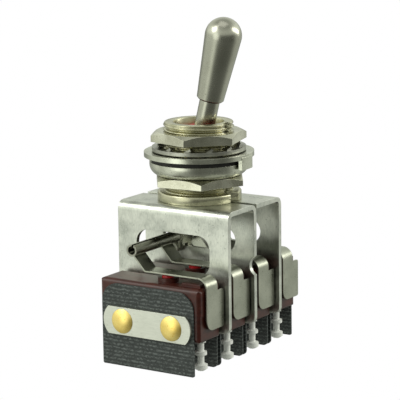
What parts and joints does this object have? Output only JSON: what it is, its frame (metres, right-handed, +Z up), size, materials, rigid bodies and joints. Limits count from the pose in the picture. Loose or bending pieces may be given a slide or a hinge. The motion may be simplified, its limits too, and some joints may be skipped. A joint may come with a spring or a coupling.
{
  "type": "panel toggle switch",
  "caption": "Panel-mount toggle switch: a bat lever in a sealed threaded bushing works snap-action switches stacked side by side in a folded bracket.",
  "frame": {"origin": "centre of the bushing's front end face, where the lever comes out", "axes": "+X the way the bat is thrown at rest and the side of the keyway, +Y along the stack of switches to the rear, +Z up the bushing's axis towards the bat"},
  "size_m": [0.022, 0.0336, 0.0573],
  "materials": {
    "nickel_plate": "satin nickel plate over brass",
    "lever_steel": "fine turned satin",
    "hard_steel": "ground",
    "dark_steel": "plain hardened",
    "bright_steel": "satin plated",
    "bracket_sheet": "satin plated sheet",
    "spring_steel": "rolled strip",
    "silver_plate": "silver plate",
    "brass": "bright",
    "phenolic": "moulded, half gloss",
    "insulating_sheet": "woven surface",
    "red_plastic": "moulded",
    "red_elastomer": "moulded",
    "black_rubber": "dull"
  },
  "bodies": {
    "housing": {"bushing": "nickel_plate", "pivot_pin": "hard_steel", "seal_ring": "red_elastomer", "front_nut": "nickel_plate", "tooth_washer": "dark_steel", "locking_ring": "bright_steel", "gasket": "black_rubber", "sealing_cup": "bright_steel", "rear_nut": "nickel_plate", "u_bracket": "bracket_sheet", "l_bracket": "bracket_sheet", "front_strip": "bright_steel", "rear_strip": "bright_steel", "rivets": "brass", "insulator_1": "insulating_sheet", "insulator_2": "insulating_sheet", "insulator_3": "insulating_sheet", "insulator_4": "insulating_sheet", "insulator_5": "insulating_sheet", "insulator_6": "insulating_sheet", "insulator_7": "insulating_sheet", "insulator_8": "insulating_sheet", "switch_cover_1": "phenolic", "switch_cover_2": "phenolic", "switch_cover_3": "phenolic", "switch_cover_4": "phenolic", "switch_base_1": "phenolic", "switch_base_2": "phenolic", "switch_base_3": "phenolic", "switch_base_4": "phenolic", "terminals_1": "silver_plate", "terminals_2": "silver_plate", "terminals_3": "silver_plate", "terminals_4": "silver_plate", "leaf_mount_1": "spring_steel", "leaf_mount_2": "spring_steel", "leaf_mount_3": "spring_steel", "leaf_mount_4": "spring_steel"},
    "lever": {"toggle_lever": "lever_steel", "cross_pin": "hard_steel", "lever_seal": "red_elastomer", "detent_balls": "hard_steel", "detent_spring": "hard_steel"},
    "leaf_1": {"leaf_arm_1": "spring_steel"},
    "button_1": {"plunger_1": "red_plastic"},
    "leaf_2": {"leaf_arm_2": "spring_steel"},
    "button_2": {"plunger_2": "red_plastic"},
    "leaf_3": {"leaf_arm_3": "spring_steel"},
    "button_3": {"plunger_3": "red_plastic"},
    "leaf_4": {"leaf_arm_4": "spring_steel"},
    "button_4": {"plunger_4": "red_plastic"}
  },
  "joints": [
    {"name": "lever_tilt", "type": "hinge", "parent": "housing", "child": "lever", "pos_m": [0, 0, -0.00535], "axis": [0, 1, 0], "range_deg": [-28.8, 0]},
    {"name": "leaf_1_flex", "type": "hinge", "parent": "housing", "child": "leaf_1", "pos_m": [0.00822, -0.01213, -0.02341], "axis": [0, 1, 0], "range_deg": [0, 3.5]},
    {"name": "button_1_slide", "type": "slide", "parent": "housing", "child": "button_1", "axis": [0, 0, 1], "range_m": [0, 0.0004]},
    {"name": "leaf_2_flex", "type": "hinge", "parent": "housing", "child": "leaf_2", "pos_m": [0.00822, -0.00413, -0.02341], "axis": [0, 1, 0], "range_deg": [0, 3.5]},
    {"name": "button_2_slide", "type": "slide", "parent": "housing", "child": "button_2", "axis": [0, 0, 1], "range_m": [0, 0.0004]},
    {"name": "leaf_3_flex", "type": "hinge", "parent": "housing", "child": "leaf_3", "pos_m": [0.00822, 0.00387, -0.02341], "axis": [0, 1, 0], "range_deg": [0, 3.5]},
    {"name": "button_3_slide", "type": "slide", "parent": "housing", "child": "button_3", "axis": [0, 0, 1], "range_m": [0, 0.0004]},
    {"name": "leaf_4_flex", "type": "hinge", "parent": "housing", "child": "leaf_4", "pos_m": [0.00822, 0.01188, -0.02341], "axis": [0, 1, 0], "range_deg": [0, 3.5]},
    {"name": "button_4_slide", "type": "slide", "parent": "housing", "child": "button_4", "axis": [0, 0, 1], "range_m": [0, 0.0004]}
  ],
  "couplings": [
    {"joint": "leaf_1_flex", "follows": "lever_tilt", "ratio": -0.12},
    {"joint": "button_1_slide", "follows": "lever_tilt", "m_per_rad": -0.000795},
    {"joint": "leaf_2_flex", "follows": "lever_tilt", "ratio": -0.12},
    {"joint": "button_2_slide", "follows": "lever_tilt", "m_per_rad": -0.000795},
    {"joint": "leaf_3_flex", "follows": "lever_tilt", "ratio": -0.12},
    {"joint": "button_3_slide", "follows": "lever_tilt", "m_per_rad": -0.000795},
    {"joint": "leaf_4_flex", "follows": "lever_tilt", "ratio": -0.12},
    {"joint": "button_4_slide", "follows": "lever_tilt", "m_per_rad": -0.000795}
  ]
}
